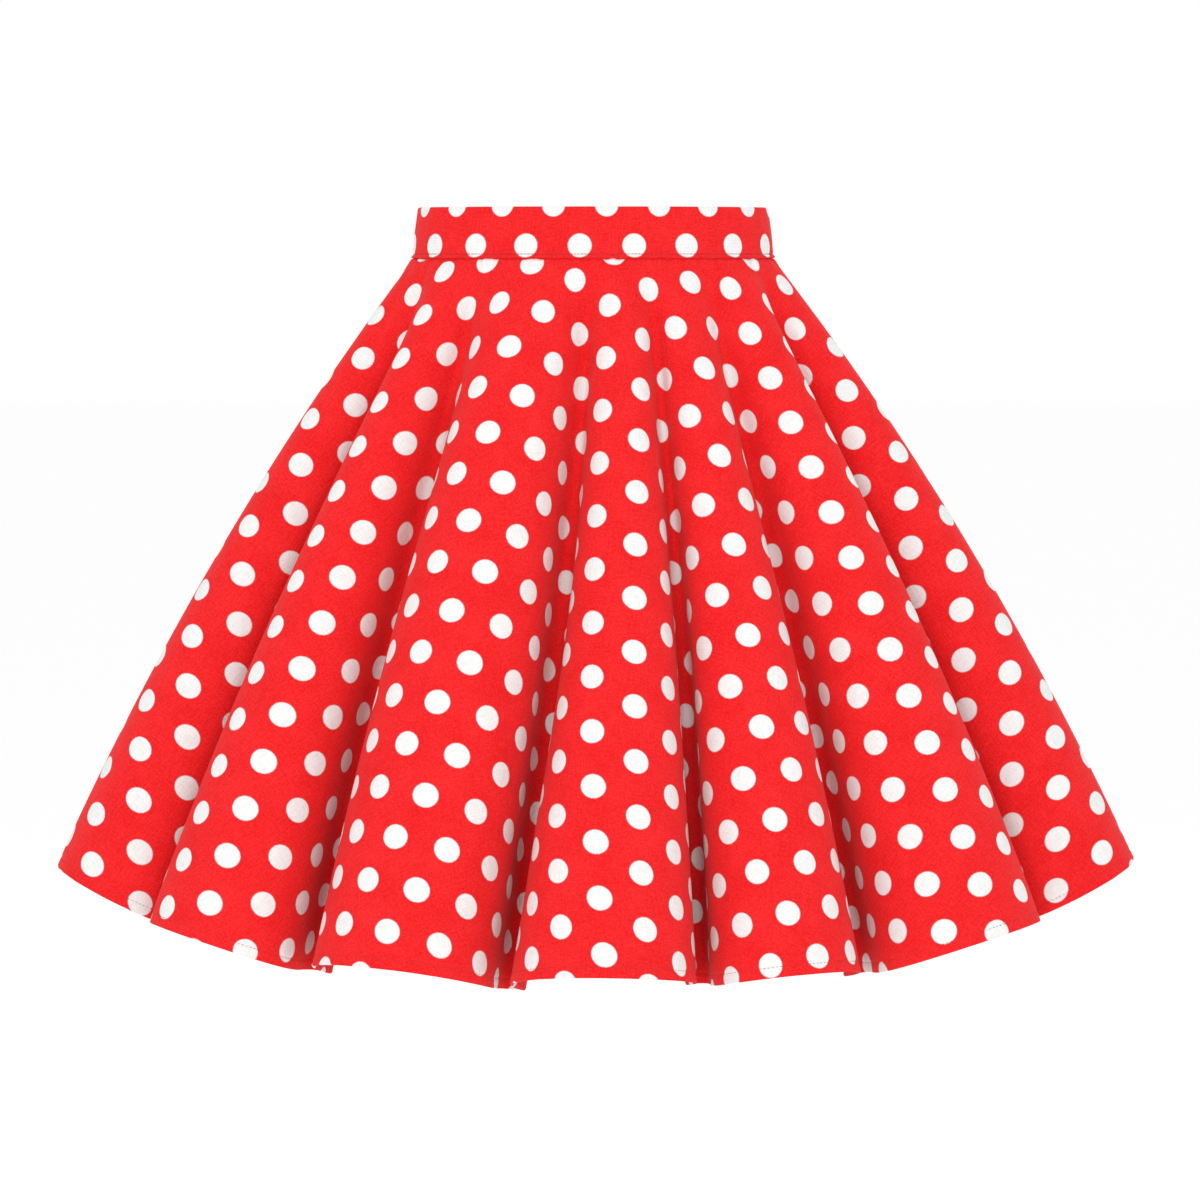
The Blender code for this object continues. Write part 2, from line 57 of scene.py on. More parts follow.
# name: place, aim, size, watts
lamps = {
    "keyLamp": ((-0.9, -3.2, 0.8), (0.0, 0.0, -0.25), 0.8, 19.0),
    "fillLamp": ((0.6, -3.4, 0.1), (0.0, 0.0, -0.25), 0.8, 15.0),
    "topLamp": ((0.0, 0.3, 2.4), (0.0, 0.0, -0.2), 1.8, 6.0),
    "backLamp": ((0.6, 2.8, 1.2), (0.0, 0.0, -0.2), 1.2, 22.0),
}


def aimAt(thing, place, target):
    thing.location = place
    direction = Vector(target) - Vector(place)
    thing.rotation_euler = direction.to_track_quat("-Z", "Y").to_euler()


def makeCamera():
    data = bpy.data.cameras.new("camera")
    data.lens = camera["lens"]
    data.sensor_width = 36.0
    data.clip_end = 60.0
    thing = bpy.data.objects.new("camera", data)
    bpy.context.scene.collection.objects.link(thing)
    place = (camera["aside"], -camera["distance"], 0.0)
    aimAt(thing, place, (camera["aside"], 0.0, -camera["aimBelowWaist"]))
    bpy.context.scene.camera = thing


def makeStudio():
    bpy.ops.mesh.primitive_plane_add(size=studio["floorSize"], location=(0, 0, studio["floorHeight"]))
    floor = bpy.context.object
    floor.name = "floor"
    material = bpy.data.materials.new("paleFloor")
    material.use_nodes = True
    shader = material.node_tree.nodes["Principled BSDF"]
    shader.inputs["Base Color"].default_value = studio["floorColour"]
    shader.inputs["Roughness"].default_value = 0.9
    floor.data.materials.append(material)
    world = bpy.data.worlds.new("studio")
    world.use_nodes = True
    background = world.node_tree.nodes["Background"]
    background.inputs["Color"].default_value = studio["skyColour"]
    background.inputs["Strength"].default_value = studio["skyStrength"]
    bpy.context.scene.world = world
    for name, (place, target, size, watts) in lamps.items():
        data = bpy.data.lights.new(name, "AREA")
        data.size = size
        data.energy = watts
        thing = bpy.data.objects.new(name, data)
        bpy.context.scene.collection.objects.link(thing)
        aimAt(thing, place, target)
    bpy.context.scene.view_settings.view_transform = "Standard"


makeCamera()
makeStudio()
print("camera, floor and lights are set")


# Shader maths: a wire is one output socket, and a finish is one material
class Wire:
    def __init__(self, finish, socket):
        self.finish = finish
        self.socket = socket

    def math(self, operation, *others):
        return self.finish.math(operation, self, *others)

    def __add__(self, other):
        return self.math("ADD", other)

    def __radd__(self, other):
        return self.math("ADD", other)

    def __sub__(self, other):
        return self.math("SUBTRACT", other)

    def __rsub__(self, other):
        return self.finish.math("SUBTRACT", other, self)

    def __mul__(self, other):
        return self.math("MULTIPLY", other)

    def __rmul__(self, other):
        return self.math("MULTIPLY", other)


class Finish:
    def __init__(self, name, roughness=0.9, metallic=0.0):
        self.material = bpy.data.materials.new(name)
        self.material.use_nodes = True
        self.tree = self.material.node_tree
        self.shader = self.tree.nodes["Principled BSDF"]
        self.set("Roughness", roughness)
        self.set("Metallic", metallic)

    def set(self, socket, value):
        if isinstance(value, Wire):
            self.tree.links.new(value.socket, self.shader.inputs[socket])
        else:
            self.shader.inputs[socket].default_value = value

    def add(self, kind, settings, inputs, output=0):
        node = self.tree.nodes.new(kind)
        for key, value in settings.items():
            if key == "stops":
                for element, (place, colour) in zip(node.color_ramp.elements, value):
                    element.position = place
                    element.color = colour
            else:
                setattr(node, key, value)
        for key, value in inputs.items():
            if isinstance(value, Wire):
                self.tree.links.new(value.socket, node.inputs[key])
            else:
                node.inputs[key].default_value = value
        return Wire(self, node.outputs[output])

    def math(self, operation, *values):
        return self.add("ShaderNodeMath", {"operation": operation}, dict(enumerate(values)))

    def blend(self, share, first, second):
        inputs = {"Factor": share, 6: first, 7: second}
        return self.add("ShaderNodeMix", {"data_type": "RGBA"}, inputs, 2)

    def ramp(self, value, low, high, start=0.0, end=1.0):
        inputs = {"Value": value, "From Min": low, "From Max": high, "To Min": start, "To Max": end}
        return self.add("ShaderNodeMapRange", {"interpolation_type": "SMOOTHSTEP"}, inputs)

    def noise(self, place, scale, detail=2.0):
        inputs = {"Vector": place, "Scale": scale, "Detail": detail}
        return self.add("ShaderNodeTexNoise", {}, inputs)

    def bump(self, height, distance, strength=1.0, under=None):
        inputs = {"Height": height, "Distance": distance, "Strength": strength}
        if under is not None:
            inputs["Normal"] = under
        return self.add("ShaderNodeBump", {}, inputs)


# Spotted cotton: the colours, the spots on their slanting rows, and the weave. Lengths in metres
cotton = {
    "red": (0.82, 0.024, 0.026, 1.0),
    "deepRed": (0.68, 0.008, 0.010, 1.0),
    "spot": (0.79, 0.79, 0.78, 1.0),
    "spotShade": (0.68, 0.69, 0.68, 1.0),
    "spotEdge": (0.42, 0.07, 0.07, 1.0),
    "rimShare": 0.50,
    "wrongRed": (0.70, 0.050, 0.044, 1.0),
    "wrongSpot": (0.74, 0.58, 0.56, 1.0),
    "spotRadius": 0.00835,
    "spotSoftness": 0.00022,
    "alongPitch": 0.0376,
    "acrossPitch": 0.0565,
    "thread": 0.00042,
    "sheen": 0.05,
}

# Where the lattice starts on each cut: skirt panels, then the band
printStart = {"skirt": (0.014, 0.010), "band": (-0.0090, 0.0090)}


def nearestSpot(finish, across, along, acrossPitch, alongPitch):
    def fold(value, pitch):
        return finish.math("WRAP", value, 0.5 * pitch, -0.5 * pitch)

    distances = []
    for half in (0.0, 0.5):
        x = fold(across + half * acrossPitch, acrossPitch)
        y = fold(along + half * alongPitch, alongPitch)
        distances.append(finish.math("SQRT", x * x + y * y))
    return finish.math("MINIMUM", *distances)


def makeCotton(name, isWrongSide=False, isBand=False):
    finish = Finish(name, roughness=0.92)
    uv = finish.add("ShaderNodeUVMap", {"uv_map": "cut"}, {})
    parts = finish.tree.nodes.new("ShaderNodeSeparateXYZ")
    finish.tree.links.new(uv.socket, parts.inputs[0])
    u = Wire(finish, parts.outputs[0])
    v = Wire(finish, parts.outputs[1])
    startU, startV = printStart["band" if isBand else "skirt"]
    across, along = (v, u) if isBand else (u, v)
    wobble = (finish.noise(uv, 900.0, 1.0) - 0.5) * 0.0005
    distance = nearestSpot(finish, across + startU, along + startV,
                           cotton["acrossPitch"], cotton["alongPitch"]) + wobble
    radius, soft = cotton["spotRadius"], cotton["spotSoftness"]
    isSpot = finish.ramp(distance, radius + soft, radius - soft)
    fromRim = finish.math("ABSOLUTE", distance - radius)
    isRim = finish.ramp(fromRim, 3.0 * soft, 0.5 * soft)

    slubs = finish.noise(finish.add("ShaderNodeVectorMath", {"operation": "MULTIPLY"},
                                    {0: uv, 1: (1300.0, 110.0, 1.0)}), 1.0, 3.0)
    picks = finish.noise(finish.add("ShaderNodeVectorMath", {"operation": "MULTIPLY"},
                                    {0: uv, 1: (110.0, 1300.0, 1.0)}), 1.0, 3.0)
    mottle = finish.noise(uv, 38.0, 3.0)
    grain = finish.noise(uv, 750.0, 2.0)
    tone = 0.5 * slubs + 0.5 * picks + 0.35 * mottle + 0.8 * grain
    red = finish.blend(finish.ramp(tone, 0.83, 1.33), cotton["red"], cotton["deepRed"])
    white = finish.blend(finish.ramp(slubs + picks, 0.85, 1.35), cotton["spot"], cotton["spotShade"])
    if isWrongSide:
        red, white = cotton["wrongRed"], cotton["wrongSpot"]
    printed = finish.blend(isSpot, red, white)
    finish.set("Base Color", finish.blend(isRim * cotton["rimShare"], printed, cotton["spotEdge"]))
    finish.set("Sheen Weight", cotton["sheen"])
    finish.set("Sheen Roughness", 0.45)
    finish.set("Specular IOR Level", 0.10)

    step = 2.0 * math.pi / (2.0 * cotton["thread"])
    warp = finish.math("SINE", u * step)
    weft = finish.math("SINE", v * step)
    weave = finish.bump(warp * weft, 0.00008, 0.6)
    uneven = finish.bump(slubs + picks + grain, 0.00045, 0.6, weave)
    finish.set("Normal", uneven)
    return finish.material


cottonRight = makeCotton("spottedCotton")
cottonWrong = makeCotton("spottedCottonInside", isWrongSide=True)
cottonBand = makeCotton("spottedCottonBand", isBand=True)
print("cotton is ready")


# The cut and the hang of the skirt, on the same sizes as the solid cloth
hang = {
    "waistHalfWidth": 0.1285, "waistHalfDepth": 0.0860, "length": 0.500,
    "sideSpreadTop": 0.610, "sideSpreadHem": 0.425, "frontSpreadTop": 0.370, "frontSpreadHem": 0.215,
    "onset": 0.030, "biasStretch": 0.020, "fullness": 0.92, "roundness": 0.80, "steepest": 1.75,
    "driftMiddle": 0.35, "levels": 100, "leastFall": 0.15,
}
cloth = {
    "wall": 0.0009,
    "hemDepth": 0.0080,
    "hemWall": 0.0024,
    "seamGap": -0.00003,
    "zipSlit": 0.0040,
    "zipBelow": 0.145,
    "columnsPerFlank": 20,
    "columnCrowding": 1.2,
    "edgeClear": 0.6,
    "edgeColumns": (0.07, 0.15, 0.26, 0.42),
    "rows": 118,
    "topRows": (0.0, 0.0004, 0.0009, 0.0015, 0.0023, 0.0035, 0.0055, 0.0080, 0.0110, 0.0160),
    "hemRows": (0.0125, 0.011, 0.0098, 0.0088, 0.0080, 0.0074, 0.0070, 0.0066,
                0.0060, 0.0050, 0.0038, 0.0026, 0.0014, 0.0006, 0.0),
    "seamDitch": 0.0006,
    "seamDitchWidth": 0.16,
}

# Angles in the flat circle from the centre front, in degrees, at the waist and at the hem, and
# sideways shifts at the hem in metres
Fold = namedtuple("Fold", "crestTop crestHem crestShift dipTop dipHem dipShift")
folds = (
    Fold(10.0, 1.0, 0.000, 20.0, 16.0, 0.005),
    Fold(30.0, 28.0, -0.005, 42.0, 41.0, 0.010),
    Fold(56.0, 55.0, 0.005, 68.0, 69.0, 0.010),
    Fold(82.0, 82.0, 0.005, 96.0, 96.0, 0.000),
    Fold(106.0, 106.0, 0.000, 118.0, 118.0, -0.004),
    Fold(131.0, 131.0, 0.003, 144.0, 144.0, 0.004),
    Fold(156.0, 156.0, -0.002, 167.0, 167.0, 0.003),
    Fold(180.0, 180.0, 0.000, 194.0, 194.0, -0.003),
    Fold(206.0, 206.0, 0.004, 218.0, 218.0, 0.002),
    Fold(229.5, 229.5, -0.003, 241.5, 241.5, 0.004),
    Fold(253.5, 253.5, 0.000, 265.5, 265.5, -0.002),
    Fold(280.0, 280.0, 0.000, 293.0, 292.0, -0.005),
    Fold(306.0, 306.0, -0.010, 318.0, 318.0, -0.015),
    Fold(338.0, 333.0, 0.000, 359.0, 345.0, 0.010),
)


def ellipseArcs(halfWidth, halfDepth):
    bearings = np.linspace(0.0, 2.0 * math.pi, 721)
    x = halfWidth * np.sin(bearings)
    y = -halfDepth * np.cos(bearings)
    lengths = np.concatenate([[0.0], np.cumsum(np.hypot(np.diff(x), np.diff(y)))])
    return bearings, lengths


waistGirth = ellipseArcs(hang["waistHalfWidth"], hang["waistHalfDepth"])[1][-1]
waistRadius = waistGirth / (2.0 * math.pi)  # of the round hole in the flat circle


def flankDirections(slope):
    places = np.linspace(0.0, 1.0, 65)
    turn = math.pi * places
    shape = np.arctan2(np.sin(turn), 1.0 / hang["roundness"] + np.cos(turn))
    return places, slope * shape / math.asin(hang["roundness"])


def runningTotal(values, places):
    steps = 0.5 * (values[1:] + values[:-1]) * np.diff(places)
    return np.concatenate([[0.0], np.cumsum(steps)])


def flankTable():
    slopes = np.linspace(0.0, 2.4, 97)
    spans = []
    depths = []
    for slope in slopes:
        places, angles = flankDirections(slope)
        spans.append(runningTotal(np.cos(angles), places)[-1])
        depths.append(runningTotal(np.sin(angles), places)[-1])
    return slopes, np.array(spans), np.array(depths)


flankSlopes, flankSpans, flankDepths = flankTable()


def slopeForSpan(span):
    slope = float(np.interp(-span, -flankSpans, flankSlopes))
    return min(slope, hang["steepest"])


def crestReach(waist, spreadTop, spreadHem, down):
    return waist + spreadTop * down + (spreadHem - spreadTop) * down ** 2 / (2.0 * hang["length"])


def foldOpening(down):
    return 1.0 - math.exp(-down / hang["onset"])


@lru_cache(maxsize=None)
def middleEllipse(down):
    crestWidth = crestReach(hang["waistHalfWidth"], hang["sideSpreadTop"], hang["sideSpreadHem"], down)
    crestDepth = crestReach(hang["waistHalfDepth"], hang["frontSpreadTop"], hang["frontSpreadHem"], down)
    girth = waistGirth + 2.0 * math.pi * down
    inset = 0.0
    for _ in range(12):
        spread = ellipseArcs(crestWidth - inset, crestDepth - inset)[1][-1]
        slope = slopeForSpan(min(1.0, spread / girth))
        depth = float(np.interp(slope, flankSlopes, flankDepths)) * girth / (2 * len(folds))
        inset = 0.5 * depth * hang["fullness"] * foldOpening(down)
    return crestWidth - inset, crestDepth - inset


def turningPoints(down):
    share = down / hang["length"]
    points = []
    for fold in folds:
        points.append((fold.crestTop + (fold.crestHem - fold.crestTop) * share, fold.crestShift, 1))
        points.append((fold.dipTop + (fold.dipHem - fold.dipTop) * share, fold.dipShift, 0))
    return points


def section(cuts, down):
    halfWidth, halfDepth = middleEllipse(down)
    bearings, lengths = ellipseArcs(halfWidth, halfDepth)
    spread = lengths[-1]
    girth = waistGirth + 2.0 * math.pi * down
    points = turningPoints(down)
    count = len(points)
    opened = down / hang["length"]
    where = [cut / 360.0 * spread + shift * opened for cut, shift, _ in points]
    flanks = []
    for i in range(count):
        j = (i + 1) % count
        cutShare = (points[j][0] - points[i][0]) % 360.0
        clothWidth = cutShare / 360.0 * girth
        span = (where[j] - where[i]) % spread
        slope = slopeForSpan(min(1.0, span / clothWidth))
        depth = clothWidth * hang["fullness"] * float(np.interp(slope, flankSlopes, flankDepths))
        flanks.append((cutShare, span, slope, depth))
    offsets = []
    for i in range(count):
        lift = 0.25 * (flanks[i - 1][3] + flanks[i][3]) * foldOpening(down)
        offsets.append(lift if points[i][2] else -lift)

    fromFirst = (cuts - points[0][0]) % 360.0
    starts = np.array([(point[0] - points[0][0]) % 360.0 for point in points])
    flankOf = np.searchsorted(starts, fromFirst, side="right") - 1
    along = np.zeros(len(cuts))
    out = np.zeros(len(cuts))
    for i in range(count):
        j = (i + 1) % count
        cutShare, span, slope, _ = flanks[i]
        inside = flankOf == i
        places, angles = flankDirections(slope)
        across = runningTotal(np.cos(angles), places)
        sunk = runningTotal(np.sin(angles), places)
        sunk = sunk / sunk[-1] if sunk[-1] > 1e-9 else places
        across = across / across[-1]
        if points[i][2] == 0:
            across = 1.0 - across[::-1]
            sunk = 1.0 - sunk[::-1]
        share = (fromFirst[inside] - starts[i]) / cutShare
        along[inside] = where[i] + span * np.interp(share, places, across)
        out[inside] = offsets[i] + (offsets[j] - offsets[i]) * np.interp(share, places, sunk)
    bearing = np.interp(along % spread, lengths, bearings)
    normalX = halfDepth * np.sin(bearing)
    normalY = -halfWidth * np.cos(bearing)
    scale = np.hypot(normalX, normalY)
    x = halfWidth * np.sin(bearing) + out * normalX / scale
    y = -halfDepth * np.cos(bearing) + out * normalY / scale
    return np.stack([x, y], axis=-1)


def cutsAt(columns, down):
    anchors = [(seam, seam) for seam in (-180.0, -90.0, 90.0, 180.0)]
    for middle, here in zip(turningPoints(hang["driftMiddle"]), turningPoints(down)):
        turn = 360.0 if middle[0] > 180.0 else 0.0
        if middle[0] != 180.0:
            anchors.append((middle[0] - turn, here[0] - turn))
    anchors.sort()
    middles, heres = np.array(anchors).T
    middles = np.concatenate([middles[:-1] - 360.0, middles, middles[1:] + 360.0])
    heres = np.concatenate([heres[:-1] - 360.0, heres, heres[1:] + 360.0])
    return np.interp(columns, middles, heres)


def drape(columns, downs):
    ladder = np.linspace(0.0, hang["length"], hang["levels"] + 1)
    cuts = np.array([cutsAt(columns, down) for down in ladder])
    plan = np.array([section(row, down) for row, down in zip(cuts, ladder)])
    run = np.linalg.norm(np.diff(plan, axis=0), axis=-1)
    rung = hang["length"] / hang["levels"]
    radius = waistRadius + 0.5 * (ladder[1:] + ladder[:-1])
    slide = np.radians(np.diff(cuts, axis=0)) * radius[:, None]
    rungHung = rung * (1.0 + hang["biasStretch"] * np.sin(2.0 * np.radians(cuts[1:])) ** 2)
    fall = np.sqrt(np.maximum(rungHung ** 2 + slide ** 2 - run ** 2, (hang["leastFall"] * rung) ** 2))
    height = -np.concatenate([np.zeros((1, len(columns))), np.cumsum(fall, axis=0)])
    rows = []
    for down in downs:
        place = down / rung
        low = min(int(place), hang["levels"] - 1)
        part = place - low
        xy = plan[low] * (1.0 - part) + plan[low + 1] * part
        z = height[low] * (1.0 - part) + height[low + 1] * part
        rows.append(np.concatenate([xy, z[:, None]], axis=-1))
    return np.array(rows)


def sheetWithNormals(columns, downs):
    points = drape(columns, downs)
    across = drape(columns + 0.5, downs) - drape(columns - 0.5, downs)
    along = np.gradient(points, downs, axis=0)
    return points, unit(np.cross(along, across))


# Small creases laid over the folds: where in the cut, how far down, how wide and how high, in metres
Crease = namedtuple("Crease", "cut drift start end width height")
creases = (
    Crease(-68.0, 5.0, 0.010, 0.170, 0.0060, 0.0016),
    Crease(-76.0, 2.0, 0.005, 0.120, 0.0050, -0.0014),
    Crease(-40.0, 3.0, 0.000, 0.090, 0.0060, 0.0010),
    Crease(8.0, 2.0, 0.000, 0.110, 0.0070, 0.0010),
    Crease(22.0, -3.0, 0.010, 0.140, 0.0060, -0.0010),
    Crease(50.0, 2.0, 0.000, 0.080, 0.0050, 0.0011),
    Crease(72.0, 4.0, 0.010, 0.150, 0.0060, 0.0014),
    Crease(-20.0, 2.0, 0.220, 0.430, 0.0120, -0.0010),
    Crease(35.0, -3.0, 0.260, 0.470, 0.0100, 0.0010),
    Crease(-55.0, 4.0, 0.240, 0.450, 0.0120, 0.0011),
    Crease(100.0, 3.0, 0.020, 0.180, 0.0070, 0.0013),
    Crease(138.0, -4.0, 0.000, 0.110, 0.0060, 0.0012),
    Crease(160.0, 2.0, 0.250, 0.440, 0.0110, -0.0011),
    Crease(-150.0, 3.0, 0.000, 0.130, 0.0060, 0.0012),
    Crease(-112.0, -3.0, 0.020, 0.160, 0.0070, -0.0013),
    Crease(-128.0, 3.0, 0.230, 0.450, 0.0120, 0.0012),
)


def creaseRelief(cuts, downs):
    relief = np.zeros(cuts.shape)
    for crease in creases:
        for row, down in enumerate(downs):
            part = (down - crease.start) / (crease.end - crease.start)
            if not 0.0 < part < 1.0:
                continue
            centre = crease.cut + crease.drift * part
            apart = np.radians((cuts[row] - centre + 180.0) % 360.0 - 180.0) * (waistRadius + down)
            fade = math.sin(math.pi * part ** 0.7) ** 2
            relief[row] += crease.height * fade * np.exp(-(apart / crease.width) ** 2)
    return relief


# Little ripples where the cloth is eased into the band and along the stitched hem
ripples = {"waistHeight": 0.0005, "waistFade": 0.009, "waistPerTurn": 61.0,
           "hemHeight": 0.0005, "hemFade": 0.009, "hemPerTurn": 173.0,
           "stitchDitch": 0.00035, "stitchUp": 0.0070, "stitchWidth": 0.0012,
           "tuckDepth": 0.0008, "tuckFade": 0.0011}


def rippleRelief(cuts, downs):
    turn = np.radians(cuts)
    perTurn = ripples["waistPerTurn"]
    waist = np.sin(perTurn * turn) + 0.6 * np.sin(1.7 * perTurn * turn + 1.0)
    hem = np.sin(ripples["hemPerTurn"] * turn) * (0.6 + 0.4 * np.sin(9.0 * turn + 0.7))
    down = downs[:, None]
    up = hang["length"] - down
    relief = ripples["waistHeight"] * waist * np.exp(-down / ripples["waistFade"])
    relief += ripples["hemHeight"] * hem * np.exp(-(up / ripples["hemFade"]) ** 2)
    relief -= ripples["tuckDepth"] * np.exp(-(down / ripples["tuckFade"]) ** 2)
    relief -= ripples["stitchDitch"] * np.exp(-((up - ripples["stitchUp"]) / ripples["stitchWidth"]) ** 2)
    return relief


def seamRelief(cuts, start, end):
    ditch = np.zeros(cuts.shape)
    for seam in (start, end):
        ditch -= cloth["seamDitch"] * np.exp(-((cuts - seam) / cloth["seamDitchWidth"]) ** 2)
    return ditch


def panelColumns(start, end):
    points = turningPoints(hang["driftMiddle"])
    columns = {start, end}
    for beside in cloth["edgeColumns"]:
        columns.update((start + beside, end - beside))
    steps = cloth["columnsPerFlank"]
    for i, (cut, _, isCrest) in enumerate(points):
        share = (points[(i + 1) % len(points)][0] - cut) % 360.0
        for step in range(steps):
            part = step / steps
            crowding = cloth["columnCrowding"]
            part = 1.0 - (1.0 - part) ** crowding if isCrest else part ** crowding
            for turn in (-360.0, 0.0):
                here = cut + part * share + turn
                if start + cloth["edgeClear"] < here < end - cloth["edgeClear"]:
                    columns.add(here)
    return np.array(sorted(columns))


def panelRows():
    top = np.array(cloth["topRows"])
    foot = hang["length"] - np.array(cloth["hemRows"])
    middle = np.linspace(top[-1], foot[0] - 0.0015, cloth["rows"])
    return np.concatenate([top, middle[1:], foot])


def panelFace(start, end, columns, rows):
    points, normals = sheetWithNormals(columns, rows)
    cuts = np.array([cutsAt(columns, down) for down in rows])
    relief = creaseRelief(cuts, rows) + rippleRelief(cuts, rows) + seamRelief(cuts, start, end)
    return points + normals * relief[..., None], normals, cuts


def printPlace(cuts, rows):
    radius = (waistRadius + rows)[:, None]
    turn = np.radians(cuts)
    return np.stack([radius * np.sin(turn), -radius * np.cos(turn)], axis=-1)


def newMeshObject(name, points, faces, materials):
    mesh = bpy.data.meshes.new(name)
    mesh.from_pydata([tuple(point) for point in points], [], faces)
    mesh.update()
    for material in materials:
        mesh.materials.append(material)
    mesh.shade_smooth()
    thing = bpy.data.objects.new(name, mesh)
    bpy.context.scene.collection.objects.link(thing)
    return thing


def slitGap(down, isCentreBack):
    if isCentreBack and down <= cloth["zipBelow"]:
        return 0.5 * cloth["zipSlit"]
    return cloth["seamGap"]


def makePanel(name, start, end, replaced, flat, area):
    rows = panelRows()
    outer, normals, cuts = panelFace(start, end, panelColumns(start, end), rows)
    for row, down in enumerate(rows):
        first = slitGap(down, abs(start) == 180.0)
        last = slitGap(down, abs(end) == 180.0)
        width = np.linalg.norm(outer[row, 4] - outer[row, 0])
        outer[row, :4] += (outer[row, 4] - outer[row, :4]) * (first / width)
        outer[row, -4:] += (outer[row, -5] - outer[row, -4:]) * (last / width)
    walls = np.full(len(rows), cloth["wall"])
    up = hang["length"] - rows
    inHem = up <= cloth["hemDepth"]
    walls[inHem] = cloth["hemWall"]
    walls[-2] = 0.82 * cloth["hemWall"]
    walls[-1] = 0.5 * cloth["hemWall"]
    outer[-1] -= normals[-1] * 0.25 * cloth["hemWall"]
    inner = outer - normals * walls[:, None, None]

    rowCount, columnCount = outer.shape[:2]
    size = rowCount * columnCount
    points = np.concatenate([outer.reshape(-1, 3), inner.reshape(-1, 3)])
    index = np.arange(size).reshape(rowCount, columnCount)
    a, b, c, d = index[:-1, :-1], index[1:, :-1], index[1:, 1:], index[:-1, 1:]
    faces = np.stack([a, b, c, d], axis=-1).reshape(-1, 4)
    insideFaces = faces[:, ::-1] + size
    rim = []
    for line in (index[0, ::-1], index[:, 0], index[-1], index[::-1, -1]):
        rim.append(np.stack([line[1:], line[:-1], line[:-1] + size, line[1:] + size], axis=-1))
    rim = np.concatenate(rim)
    everyFace = np.concatenate([faces, insideFaces, rim])
    thing = newMeshObject(name, points, everyFace.tolist(), (cottonRight, cottonWrong))

    flatPlace = np.concatenate([printPlace(cuts, rows).reshape(-1, 2)] * 2)
    mesh = thing.data
    layer = mesh.uv_layers.new(name="cut")
    corner = np.zeros(len(mesh.loops), np.int32)
    mesh.loops.foreach_get("vertex_index", corner)
    layer.data.foreach_set("uv", flatPlace[corner].astype(np.float32).ravel())
    hemStart = np.argmax(inHem)
    slots = np.zeros(len(everyFace), np.int32)
    inside = np.repeat(np.arange(rowCount - 1) < hemStart, columnCount - 1)
    slots[len(faces):2 * len(faces)] = inside
    mesh.polygons.foreach_set("material_index", slots)
    mesh.update()

    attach(thing, skirtBody)
    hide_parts(*replaced)
    print(name, "has", len(everyFace), "faces")


# The ends of each panel, and the flat size and area it is cut to
Panel = namedtuple("Panel", "name start end nodes flat area")
panels = (
    Panel("frontPanel", -90.0, 90.0, ("front_panel", "front_hem"), (1.216, 0.608), 0.562),
    Panel("backPanelLeft", 90.0, 180.0, ("back_panel_left", "back_hem_left"), (0.608, 0.608), 0.281),
    Panel("backPanelRight", -180.0, -90.0, ("back_panel_right", "back_hem_right"), (0.608, 0.608), 0.281),
)
for panel in panels:
    makePanel(*panel)


# Waistband: doubled cloth folded over at the top, with a small rolled ridge above the waist seam
band = {"height": 0.036, "taper": 0.0040, "steps": 260}

BandCorner = namedtuple("BandCorner", "out height")
bandProfile = (
    BandCorner(-0.0022, 0.0310), BandCorner(-0.0022, 0.0348), BandCorner(-0.0018, 0.0357),
    BandCorner(-0.0011, 0.0360), BandCorner(-0.0004, 0.0357), BandCorner(0.0000, 0.0348),
    BandCorner(0.0001, 0.0310), BandCorner(0.0003, 0.0240), BandCorner(0.0004, 0.0170),
    BandCorner(0.0003, 0.0100), BandCorner(0.0002, 0.0050), BandCorner(-0.0001, 0.0031),
    BandCorner(0.0000, 0.0026), BandCorner(0.0008, 0.0021), BandCorner(0.0012, 0.0014),
    BandCorner(0.0011, 0.0007), BandCorner(0.0006, 0.0002), BandCorner(-0.0006, 0.0001),
    BandCorner(-0.0008, -0.0008), BandCorner(-0.0020, -0.0008), BandCorner(-0.0022, 0.0100),
    BandCorner(-0.0022, 0.0200),
)


def bandPoint(bearing, height, out):
    narrow = band["taper"] * height / band["height"]
    halfWidth = hang["waistHalfWidth"] - narrow
    halfDepth = hang["waistHalfDepth"] - narrow
    normal = unit(np.array([halfDepth * math.sin(bearing), -halfWidth * math.cos(bearing)]))
    x = halfWidth * math.sin(bearing) + out * normal[0]
    y = -halfDepth * math.cos(bearing) + out * normal[1]
    return np.array([x, y, height])


def makeBand():
    slit = cloth["zipSlit"] / 2.0 / (hang["waistHalfWidth"] - band["taper"])
    bearings = np.linspace(-math.pi + slit, math.pi - slit, band["steps"] + 1)
    ellipse, lengths = ellipseArcs(hang["waistHalfWidth"] - 0.002, hang["waistHalfDepth"] - 0.002)
    points = []
    flat = []
    for bearing in bearings:
        along = np.interp(bearing % (2.0 * math.pi), ellipse, lengths)
        if bearing < 0.0:
            along -= lengths[-1]
        for corner in bandProfile:
            ease = 0.00015 * math.sin(37.0 * bearing) * math.sin(math.pi * corner.height / band["height"])
            out = corner.out + (ease if corner.out > -0.001 else 0.0)  # the outer face only
            points.append(bandPoint(bearing, corner.height, out))
            flat.append((along, corner.height))
    count = len(bandProfile)
    faces = []
    for step in range(band["steps"]):
        for i in range(count):
            j = (i + 1) % count
            here, there = step * count, (step + 1) * count
            faces.append([here + i, here + j, there + j, there + i])
    last = band["steps"] * count
    faces.append([i for i in reversed(range(count))])
    faces.append([last + i for i in range(count)])
    thing = newMeshObject("waistbandCloth", points, faces, (cottonBand,))
    mesh = thing.data
    layer = mesh.uv_layers.new(name="cut")
    for loop in mesh.loops:
        layer.data[loop.index].uv = flat[loop.vertex_index]
    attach(thing, skirtBody)
    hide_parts("waistband")
    print("waistbandCloth has", len(faces), "faces")


makeBand()

